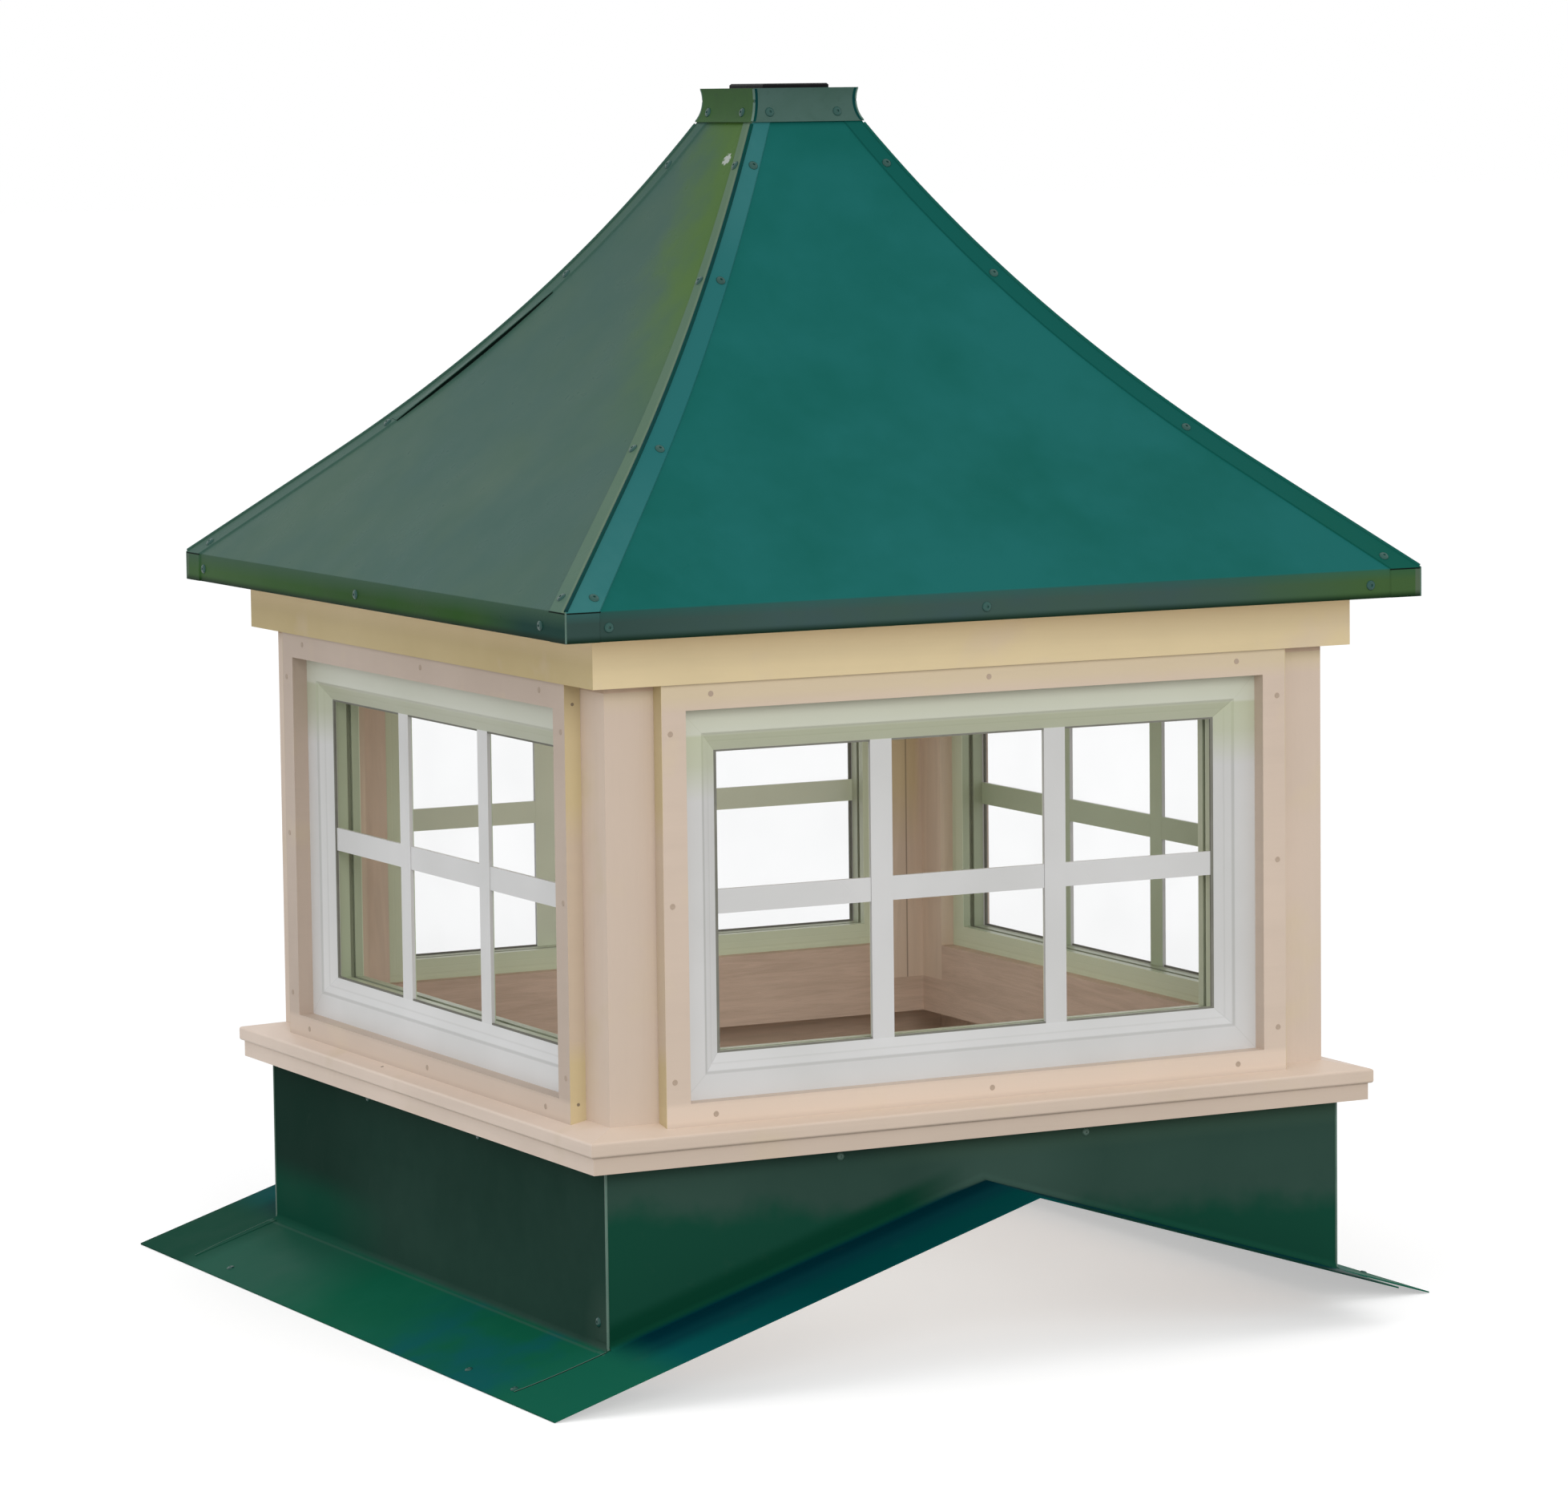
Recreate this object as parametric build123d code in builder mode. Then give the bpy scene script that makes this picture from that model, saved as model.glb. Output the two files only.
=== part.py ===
from build123d import *
import os
from math import cos, radians, sin, sqrt, tan

os.makedirs("parts", exist_ok=True)

# Roof cupola for a ridge along Y, millimetres, Z up, lowest flange edges at Z 0

# Base saddle
BASE_W = 914.4
SLOPE_DEG = 17.5
FLANGE_SIDE = 124.0
FLANGE_END = 129.0
SHEET = 1.6
BEND_R = 8.0
BASE_TOP = 235.6
BOARD = 18.0

# Wooden body, set in from the base
BODY_INSET = 12.2
FRAMING = 61.0
STEP_OUT = 38.0
NOSE_OUT = 4.5
STEP_H = 18.8
NOSE_H = 15.8
NOSE_R = 3.0
SILL_RISE = 8.4
FRIEZE_T = 24.0
FRIEZE_H = 55.5
HEAD_DROP = 7.0

# Casings, with the strip of corner post left showing, and windows
CASING_T = 19.0
POST_SHOW = 58.0
STILE_W = 29.0
FOOT_W = 21.0
HEAD_W = 28.5
WINDOW_H = 421.5
FRAME_PROUD = 1.0
REBATE_W = 22.0
REBATE_D = 12.0
FACE_W = 27.0
BEAD = 20.0
BEAD_DEPTH = 12.0
FRAME_SHORT = 17.0
GLASS_BACK = 29.0
GLASS_T = 6.0
GLASS_LET = 5.0
BAR_W = 26.5
BAR_T = 5.0
LEVEL_T = 4.0
BAR_JOINT = 0.2
BAR_BACK = 12.0

# Roof: a straight run up from the eave, then a curve that steepens to the collar
EAVE_OUT = 80.0
FASCIA_H = 32.0
COLLAR_HALF = 68.0
STRAIGHT = 179.3
LOW_PITCH = 41.0
TOP_PITCH = 59.0
CEILING_T = 12.0
CAP_TOP_W = 22.0
CAP_EAVE_W = 39.0
COLLAR_H = 38.0
COLLAR_FOOT = 4.0
COLLAR_WALL = 2.5
FOOT_LEAN = (-1, 1.5)
LIP_LEAN = (0.3, 1)
PLATE_HALF = 42.0
PLATE_T = 5.0
PLATE_BEVEL = 1.7

BASE_HALF = BASE_W / 2
SLOPE = tan(radians(SLOPE_DEG))
SHEET_V = SHEET / cos(radians(SLOPE_DEG))
BEND_Z = SHEET_V + SLOPE * FLANGE_SIDE
BODY_HALF = BASE_HALF - BODY_INSET
ROOM_HALF = BODY_HALF - FRAMING
SILL_TOP = BASE_TOP + STEP_H + NOSE_H + SILL_RISE
CASING_HALF = BODY_HALF - POST_SHOW
CASING_IN = CASING_HALF - STILE_W
CASING_LOW = SILL_TOP + FOOT_W
CASING_HIGH = CASING_LOW + WINDOW_H
FRIEZE_BOTTOM = CASING_HIGH + HEAD_W
HEAD_BOTTOM = FRIEZE_BOTTOM - HEAD_DROP
BODY_TOP = FRIEZE_BOTTOM + FRIEZE_H
EAVE_HALF = BODY_HALF + EAVE_OUT
EAVE_TOP = BODY_TOP + FASCIA_H
REACH = 2 * BASE_W

SIDES = {"front": 0, "right": 90, "back": 180, "left": 270}


# Planes of a side: its outer face, its cross-section, and the plan with X outward
def outward(turn):
    return Vector(sin(radians(turn)), -cos(radians(turn)), 0)


def along(turn):
    return Vector(cos(radians(turn)), sin(radians(turn)), 0)


def face_plane(turn, out):
    return Plane(origin=outward(turn) * out, x_dir=along(turn), z_dir=outward(turn))


def section_plane(turn):
    return Plane(origin=(0, 0, 0), x_dir=outward(turn), z_dir=along(turn) * -1)


def plan_plane(turn, height=0.0):
    return Plane(origin=(0, 0, height), x_dir=outward(turn), z_dir=(0, 0, 1))


def mitred(turn, points, nose_radius):
    with BuildPart() as piece:
        with BuildSketch(section_plane(turn)) as profile:
            Polygon(*points, align=None)
            fillet(profile.vertices().group_by(Axis.X)[-1], radius=nose_radius)
        extrude(amount=REACH, both=True)
        with BuildSketch(plan_plane(turn)):
            Polygon((0, 0), (REACH, -REACH), (REACH, REACH), align=None)
        extrude(amount=REACH, mode=Mode.INTERSECT)
    return piece.part


# Underside of the saddle at a distance from the ridge line
def saddle(x):
    return BEND_Z - SHEET_V + SLOPE * (BASE_HALF - abs(x))


def save(part, name):
    part.label = name
    export_step(part, "parts/" + name + ".step")


# Rounds both faces of a sheet where it is bent, about one centre
def round_bend(section, outside, inside):
    fillet(section.vertices().sort_by_distance(outside)[0], radius=BEND_R)
    fillet(section.vertices().sort_by_distance(inside)[0], radius=BEND_R + SHEET)


# Side panels: wall and sloping flange bent from one sheet
def base_side(turn):
    inner = BASE_HALF - SHEET
    tip = BASE_HALF + FLANGE_SIDE
    with BuildPart() as panel:
        with BuildSketch(section_plane(turn)) as section:
            Polygon((inner, BASE_TOP), (inner, saddle(inner)), (tip, saddle(tip)),
                    (tip, saddle(tip) + SHEET_V), (BASE_HALF, BEND_Z), (BASE_HALF, BASE_TOP), align=None)
            round_bend(section, (BASE_HALF, BEND_Z), (inner, saddle(inner)))
        extrude(amount=BASE_HALF, both=True)
    return panel.part


# End panels: a bent wall and flange run down each slope from the ridge, cut off level at the top
def base_end(turn, left_end, right_end):
    inner = BASE_HALF - SHEET
    tip = BASE_HALF + FLANGE_END
    ridge = saddle(0)
    top = BASE_TOP + ridge - saddle(inner)
    fall = radians(SLOPE_DEG)
    with BuildPart() as panel:
        for way in (-1, 1):
            with BuildSketch(section_plane(turn)) as section:
                Polygon((inner, ridge), (tip, ridge), (tip, ridge + SHEET_V),
                        (BASE_HALF, ridge + SHEET_V), (BASE_HALF, top), (inner, top), align=None)
                round_bend(section, (BASE_HALF, ridge + SHEET_V), (inner, ridge))
            down = along(turn) * (way * cos(fall)) - Vector(0, 0, sin(fall))
            extrude(amount=inner / cos(fall), dir=down)
        with BuildSketch(face_plane(turn, BASE_HALF)):
            for start, end in ((left_end, -inner), (inner, right_end)):
                Polygon((start, saddle(start)), (end, saddle(end)), (end, saddle(end) + SHEET_V),
                        (start, saddle(start) + SHEET_V), align=None)
        extrude(amount=FLANGE_END)
        with BuildSketch(Plane.XY.offset(BASE_TOP)):
            Rectangle(REACH, REACH)
        extrude(amount=REACH, mode=Mode.SUBTRACT)
    return panel.part


# Wooden box inside the sheet metal, cut to the same slopes
def base_box():
    outer = BASE_W - 2 * SHEET
    with BuildPart() as box:
        with BuildSketch(Plane.XY):
            Rectangle(outer, outer)
            Rectangle(outer - 2 * BOARD, outer - 2 * BOARD, mode=Mode.SUBTRACT)
        extrude(amount=BASE_TOP)
        with BuildSketch(Plane.XZ):
            Polygon((-BASE_W, saddle(BASE_W)), (0, saddle(0)), (BASE_W, saddle(BASE_W)),
                    (BASE_W, -BASE_W), (-BASE_W, -BASE_W), align=None)
        extrude(amount=BASE_W, both=True, mode=Mode.SUBTRACT)
    return box.part


# Square ring round the body
def ring(outer_half, inner_half, bottom, top):
    with BuildPart() as piece:
        with BuildSketch(Plane.XY.offset(bottom)):
            Rectangle(2 * outer_half, 2 * outer_half)
            Rectangle(2 * inner_half, 2 * inner_half, mode=Mode.SUBTRACT)
        extrude(amount=top - bottom)
    return piece.part


# Plate under or over the windows: a ring, and a rail on each side rebated for the window's flange
def plate(bottom, top, start, flange, tip):
    back = BODY_HALF - REBATE_D
    with BuildPart() as piece:
        add(ring(BODY_HALF, ROOM_HALF, bottom, top))
        for turn in SIDES.values():
            with BuildSketch(section_plane(turn)):
                Polygon((ROOM_HALF, start), (BODY_HALF, start), (BODY_HALF, flange), (back, flange),
                        (back, tip), (ROOM_HALF, tip), align=None)
            extrude(amount=CASING_IN - REBATE_W, both=True)
    return piece.part


# Two-step sill moulding with a falling top and a rounded nose
def sill(turn):
    step = BASE_TOP + STEP_H
    nose = step + NOSE_H
    r0 = BODY_HALF
    r1 = BODY_HALF + STEP_OUT
    r2 = r1 + NOSE_OUT
    points = [(r0, BASE_TOP), (r1, BASE_TOP), (r1, step), (r2, step), (r2, nose), (r0, SILL_TOP)]
    return mitred(turn, points, NOSE_R)


# Corner post with a leg along each wall, rebated for the windows' flanges
def corner_post(turn):
    back = BODY_HALF - REBATE_D
    leg = CASING_IN - REBATE_W
    half = [(ROOM_HALF, ROOM_HALF), (leg, ROOM_HALF), (leg, back), (CASING_IN, back),
            (CASING_IN, BODY_HALF), (BODY_HALF, BODY_HALF)]
    mirrored = [(y, x) for x, y in half[-2:0:-1]]
    with BuildPart() as post:
        with BuildSketch(plan_plane(turn, SILL_TOP)):
            Polygon(*half, *mirrored, align=None)
        extrude(amount=HEAD_BOTTOM - SILL_TOP)
    return post.part


# Flat casing round a window, its foot scribed to the falling sill
def casing(turn):
    low = BASE_TOP + STEP_H
    nose = BODY_HALF + STEP_OUT + NOSE_OUT
    with BuildPart() as board:
        with BuildSketch(face_plane(turn, BODY_HALF)):
            with Locations((0, (low + FRIEZE_BOTTOM) / 2)):
                Rectangle(2 * CASING_HALF, FRIEZE_BOTTOM - low)
            with Locations((0, (CASING_LOW + CASING_HIGH) / 2)):
                Rectangle(2 * CASING_IN, WINDOW_H, mode=Mode.SUBTRACT)
        extrude(amount=CASING_T)
        with BuildSketch(section_plane(turn)):
            Polygon((BODY_HALF, 0), (nose, 0), (nose, SILL_TOP - SILL_RISE), (BODY_HALF, SILL_TOP),
                    align=None)
        extrude(amount=REACH, both=True, mode=Mode.SUBTRACT)
    return board.part


# Vinyl window frame: a flange in the framing's rebate, a bevelled bead and a groove for the glass
def window_frame(turn):
    front = BODY_HALF + FRAME_PROUD
    lip = CASING_IN - FACE_W
    open_half = lip - BEAD
    mid = (CASING_LOW + CASING_HIGH) / 2
    bead_h = WINDOW_H - 2 * FACE_W
    open_h = bead_h - 2 * BEAD
    with BuildPart() as frame:
        with BuildSketch(face_plane(turn, ROOM_HALF + FRAME_SHORT)):
            with Locations((0, mid)):
                Rectangle(2 * (CASING_IN - REBATE_W), WINDOW_H - 2 * REBATE_W)
                Rectangle(2 * open_half, open_h, mode=Mode.SUBTRACT)
        extrude(amount=FRAMING - REBATE_D - FRAME_SHORT)
        with BuildSketch(face_plane(turn, BODY_HALF - REBATE_D)):
            with Locations((0, mid)):
                Rectangle(2 * CASING_IN, WINDOW_H)
                Rectangle(2 * open_half, open_h, mode=Mode.SUBTRACT)
        extrude(amount=REBATE_D + FRAME_PROUD)
        with BuildSketch(face_plane(turn, front)):
            with Locations((0, mid)):
                Rectangle(2 * lip, bead_h)
        with BuildSketch(face_plane(turn, front - BEAD_DEPTH)):
            with Locations((0, mid)):
                Rectangle(2 * open_half, open_h)
        loft(mode=Mode.SUBTRACT)
        with BuildSketch(face_plane(turn, front - GLASS_BACK - GLASS_T)):
            with Locations((0, mid)):
                Rectangle(2 * (open_half + GLASS_LET), open_h + 2 * GLASS_LET)
        extrude(amount=GLASS_T, mode=Mode.SUBTRACT)
    return frame.part


def window_glass(turn):
    front = BODY_HALF + FRAME_PROUD - GLASS_BACK
    half = CASING_IN - FACE_W - BEAD + GLASS_LET
    high = WINDOW_H - 2 * (FACE_W + BEAD - GLASS_LET)
    with BuildPart() as pane:
        with BuildSketch(face_plane(turn, front - GLASS_T)):
            with Locations((0, (CASING_LOW + CASING_HIGH) / 2)):
                Rectangle(2 * half, high)
        extrude(amount=GLASS_T)
    return pane.part


# Two upright bars, and a thinner level bar in three lengths between them, ends cut to the frame's bead
def window_grid(turn, frame):
    lip = CASING_IN - FACE_W
    pane_w = (2 * (lip - BEAD) - 2 * BAR_W) / 3
    centre = (pane_w + BAR_W) / 2
    mid = (CASING_LOW + CASING_HIGH) / 2
    back = BODY_HALF + FRAME_PROUD - BAR_BACK - BAR_T
    with BuildPart() as grid:
        with BuildSketch(face_plane(turn, back)):
            with Locations((-centre, mid), (centre, mid)):
                Rectangle(BAR_W, WINDOW_H - 2 * FACE_W)
        extrude(amount=BAR_T)
        with BuildSketch(face_plane(turn, back)):
            with Locations((0, mid)):
                Rectangle(2 * lip, BAR_W)
            with Locations((-centre, mid), (centre, mid)):
                Rectangle(BAR_W + 2 * BAR_JOINT, BAR_W, mode=Mode.SUBTRACT)
        extrude(amount=LEVEL_T)
        add(frame, mode=Mode.SUBTRACT)
    return grid.part


# Roof curve: the arc's centre and radius, and the height at which it meets the collar
def roof_curve():
    low = radians(LOW_PITCH)
    chord = radians((LOW_PITCH + TOP_PITCH) / 2)
    knee = (EAVE_HALF - STRAIGHT * cos(low), EAVE_TOP + STRAIGHT * sin(low))
    chord_len = (knee[0] - COLLAR_HALF) / cos(chord)
    radius = chord_len / 2 / sin(chord - low)
    centre = (knee[0] + radius * sin(low), knee[1] + radius * cos(low))
    return centre, radius, knee[1] + chord_len * sin(chord)


CURVE_C, CURVE_R, COLLAR_Z = roof_curve()


# Points of the curve set out by a normal distance: eave corner, knee, middle, top
def curve_points(gap):
    low = radians(LOW_PITCH)
    r = CURVE_R - gap
    eave_x = EAVE_HALF + gap
    knee = (CURVE_C[0] - r * sin(low), CURVE_C[1] - r * cos(low))
    eave = (eave_x, knee[1] - (eave_x - knee[0]) * tan(low))
    top = (CURVE_C[0] - sqrt(r * r - (CURVE_C[1] - COLLAR_Z) ** 2), COLLAR_Z)
    half = radians((LOW_PITCH + TOP_PITCH) / 2)
    middle = (CURVE_C[0] - r * sin(half), CURVE_C[1] - r * cos(half))
    return eave, knee, middle, top


# Bent sheet between two offsets of the roof curve, with its folded edge down to the eave
def roof_sheet(turn, gap_in, gap_out, plan):
    ei, ki, mi, ti = curve_points(gap_in)
    eo, ko, mo, to = curve_points(gap_out)
    with BuildPart() as sheet:
        with BuildSketch(section_plane(turn)):
            with BuildLine():
                Polyline((eo[0], BODY_TOP), eo, ko)
                ThreePointArc(ko, mo, to)
                Line(to, ti)
                ThreePointArc(ti, mi, ki)
                Polyline(ki, ei, (ei[0], BODY_TOP), (eo[0], BODY_TOP))
            make_face()
        extrude(amount=REACH, both=True)
        with BuildSketch(plan_plane(turn)):
            Polygon(*plan, align=None)
        extrude(amount=REACH, mode=Mode.INTERSECT)
    return sheet.part


def roof_panel(turn):
    return roof_sheet(turn, -SHEET, 0.0, [(0, 0), (REACH, -REACH), (REACH, REACH)])


# Hip cap: a strip on each of the two panels that meet, wider towards the eave
def hip_cap(turn):
    taper = (CAP_EAVE_W - CAP_TOP_W) / (EAVE_HALF - COLLAR_HALF)
    start = COLLAR_HALF / 2
    low = start - CAP_TOP_W - taper * (start - COLLAR_HALF)
    high = REACH - CAP_TOP_W - taper * (REACH - COLLAR_HALF)
    on_this = [(start, start), (REACH, REACH), (REACH, high), (start, low)]
    on_next = [(start, -start), (start, -low), (REACH, -high), (REACH, -REACH)]
    first = roof_sheet(turn, 0.0, SHEET, on_this)
    second = roof_sheet(turn + 90, 0.0, SHEET, on_next)
    with BuildPart() as cap:
        add(first)
        add(second)
    return cap.part


# Collar: four flared walls and a flat lid
def collar_wall(turn):
    top = COLLAR_Z + COLLAR_H
    waist = COLLAR_HALF - COLLAR_WALL
    inner = waist - SHEET
    with BuildPart() as wall:
        with BuildSketch(section_plane(turn)):
            with BuildLine():
                Line((inner, COLLAR_Z), (COLLAR_HALF + COLLAR_FOOT, COLLAR_Z))
                Spline((COLLAR_HALF + COLLAR_FOOT, COLLAR_Z), (waist, COLLAR_Z + COLLAR_H / 2),
                       (waist + SHEET, top), tangents=(FOOT_LEAN, LIP_LEAN))
                Polyline((waist + SHEET, top), (inner, top), (inner, COLLAR_Z))
            make_face()
        extrude(amount=REACH, both=True)
        with BuildSketch(plan_plane(turn)):
            Polygon((0, 0), (REACH, -REACH), (REACH, REACH), align=None)
        extrude(amount=REACH, mode=Mode.INTERSECT)
    return wall.part


def roof_collar():
    top = COLLAR_Z + COLLAR_H
    walls = [collar_wall(turn) for turn in SIDES.values()]
    with BuildPart() as collar:
        for wall in walls:
            add(wall)
        with BuildSketch(Plane.XY.offset(top - SHEET)):
            Rectangle(2 * (COLLAR_HALF - COLLAR_WALL), 2 * (COLLAR_HALF - COLLAR_WALL))
        extrude(amount=SHEET)
    return collar.part


def ceiling_board():
    half = EAVE_HALF - SHEET
    with BuildPart() as board:
        with BuildSketch(Plane.XY.offset(BODY_TOP)):
            Rectangle(2 * half, 2 * half)
        extrude(amount=CEILING_T)
    return board.part


def finial_plate():
    with BuildPart() as plate:
        with BuildSketch(Plane.XY.offset(COLLAR_Z + COLLAR_H)):
            Rectangle(2 * PLATE_HALF, 2 * PLATE_HALF)
        extrude(amount=PLATE_T)
        chamfer(plate.faces().sort_by(Axis.Z)[-1].edges(), length=PLATE_BEVEL)
    return plate.part


# Build and export every piece
far = BASE_HALF + FLANGE_SIDE
save(base_end(SIDES["front"], -far, BASE_HALF), "base_panel_front")
save(base_end(SIDES["back"], -BASE_HALF, far), "base_panel_back")
save(base_side(SIDES["left"]), "base_panel_left")
save(base_side(SIDES["right"]), "base_panel_right")
save(base_box(), "base_box")
save(plate(BASE_TOP, SILL_TOP, SILL_TOP, CASING_LOW, CASING_LOW + REBATE_W), "sill_plate")
save(plate(HEAD_BOTTOM, BODY_TOP, HEAD_BOTTOM, CASING_HIGH, CASING_HIGH - REBATE_W), "head_plate")
save(ring(BODY_HALF + FRIEZE_T, BODY_HALF, FRIEZE_BOTTOM, BODY_TOP), "frieze")

for name, turn in SIDES.items():
    save(sill(turn), "sill_" + name)
    save(casing(turn), "casing_" + name)
    frame = window_frame(turn)
    save(frame, "window_frame_" + name)
    save(window_grid(turn, frame), "window_grid_" + name)
    save(window_glass(turn), "window_glass_" + name)
    save(roof_panel(turn), "roof_panel_" + name)

corners = {"front_right": 0, "back_right": 90, "back_left": 180, "front_left": 270}
for name, turn in corners.items():
    save(corner_post(turn), "corner_post_" + name)
    save(hip_cap(turn), "hip_cap_" + name)

save(ceiling_board(), "ceiling_board")
save(roof_collar(), "roof_collar")
save(finial_plate(), "finial_plate")
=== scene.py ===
# Roof cupola, metres, Z up, front towards -Y
import math
import random

import bmesh
import bpy
from mathutils import Matrix, Vector
from mathutils.bvhtree import BVHTree


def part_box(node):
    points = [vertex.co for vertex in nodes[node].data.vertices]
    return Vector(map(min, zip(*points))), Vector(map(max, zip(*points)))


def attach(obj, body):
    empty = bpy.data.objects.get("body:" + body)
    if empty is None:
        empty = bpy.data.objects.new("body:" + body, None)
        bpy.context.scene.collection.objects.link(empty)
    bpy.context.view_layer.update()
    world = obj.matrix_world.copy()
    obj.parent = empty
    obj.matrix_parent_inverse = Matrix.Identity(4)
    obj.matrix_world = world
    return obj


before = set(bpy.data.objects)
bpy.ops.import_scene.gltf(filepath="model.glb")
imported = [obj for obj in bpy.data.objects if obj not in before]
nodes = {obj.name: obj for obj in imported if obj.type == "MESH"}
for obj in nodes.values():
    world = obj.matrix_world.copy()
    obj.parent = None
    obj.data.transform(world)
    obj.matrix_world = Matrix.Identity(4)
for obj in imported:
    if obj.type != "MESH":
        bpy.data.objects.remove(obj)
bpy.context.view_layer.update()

TURNS = {"front": 0, "right": 90, "back": 180, "left": 270}
CORNERS = {"front_right": (1, -1), "back_right": (1, 1), "back_left": (-1, 1), "front_left": (-1, -1)}
DOWN = Vector((0.0, 0.0, -1.0))

# Thicknesses and steps that the boxes in the frame don't give
FLANGE_T = 0.0017
FASCIA_H = 0.032
SILL_STEP_H = 0.0188

# Sizes taken from the frame
BASE_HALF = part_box("base_panel_front")[1].x
BASE_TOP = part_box("base_box")[1].z
FLANGE_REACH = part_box("base_panel_right")[1].x
SLOPE = math.tan(math.radians(17.5))
WALL_FOOT = SLOPE * (FLANGE_REACH - BASE_HALF) + FLANGE_T
BODY_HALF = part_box("sill_plate")[1].x
SILL_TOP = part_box("sill_front")[1].z
STEP_TOP = BASE_TOP + SILL_STEP_H
FRIEZE_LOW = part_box("frieze")[0].z
EAVE_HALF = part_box("roof_panel_front")[1].x
EAVE_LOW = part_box("roof_panel_front")[0].z
EAVE_TOP = EAVE_LOW + FASCIA_H
CAP_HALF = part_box("hip_cap_front_right")[1].x
COLLAR_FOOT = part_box("roof_collar")[1].x
COLLAR_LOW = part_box("roof_collar")[0].z
COLLAR_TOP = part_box("roof_collar")[1].z

# Stations of the screws and nails, as measured on the object
HIP_SCREW_OUT = (0.100, 0.190, 0.350, 0.512)
HIP_SCREW_IN = 0.66
CAP_TOP_W = 0.022
CAP_EAVE_W = 0.039
FASCIA_SCREW_ALONG = (-0.476, -0.026, 0.461)
FASCIA_SCREW_Z = 0.820
COLLAR_SCREW_ALONG = (-0.0465, 0.0395)
COLLAR_SCREW_Z = 1.349
BASE_NAIL_ALONG = (-0.175, 0.131)
BASE_NAIL_Z = 0.2255
TAB_SCREW_IN = 0.0205
TAB_SCREW_Z = 0.0684
FLANGE_SCREW_ALONG = (-0.443, -0.326, 0.350)
FLANGE_SCREW_OUT = 0.5610
STILE_NAIL_Z = (0.324, 0.513, 0.697)
RAIL_NAIL_ALONG = (-0.328, 0.010, 0.324)
FOOT_NAIL_Z = 0.2862
HEAD_NAIL_Z = 0.7378
STILE_NAIL_ALONG = 0.3765
END_NAILS = ((-0.4545, 0.727), (-0.4545, 0.296))
SILL_NAIL = (-0.472, 0.098)

# Window frame's face, measured from the middle of a window
OPENING_HALF = 0.358
OPENING_LOW = 0.2996
OPENING_HIGH = 0.7211
BEAD_START = 0.027
BEAD_END = 0.047

# Faces where one paint passes into another, measured out from the object's middle
CASING_HALF = 0.3868
POST_FACE = 0.4452
PANE_MIDDLE = 0.4298
FRAME_BACK = 0.4018
STUD_JOINT = 0.362

# Paints: creams, the way that a board's grain runs, how much the paint shines, and places on the roof
CREAM = (0.655, 0.535, 0.440)
CREAM_WARM = (0.640, 0.530, 0.360)
# Frieze cream, yellower as painted light for the yellow light bounced under the eave
FRIEZE_CREAM = (0.735, 0.608, 0.372)
DRIFT_SHARE = 0.93
UPRIGHT = (1.0, 1.0, 0.06)
LEVEL = (0.06, 0.06, 1.0)
ROOF_ROUGH = 0.30
ROOF_SHINE = 0.02
BASE_SHINE = 0.003
LOW_ROOF = (0.86, 0.99)
HIGH_ROOF = (1.16, 1.28)
OLIVE_RISE = (0.98, 1.16)
CHIP_AT = (-0.095, -0.052, 1.297)
CHIP_R = 0.014


def outward(turn):
    return Vector((math.sin(math.radians(turn)), -math.cos(math.radians(turn)), 0.0))


def along(turn):
    return Vector((math.cos(math.radians(turn)), math.sin(math.radians(turn)), 0.0))


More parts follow.
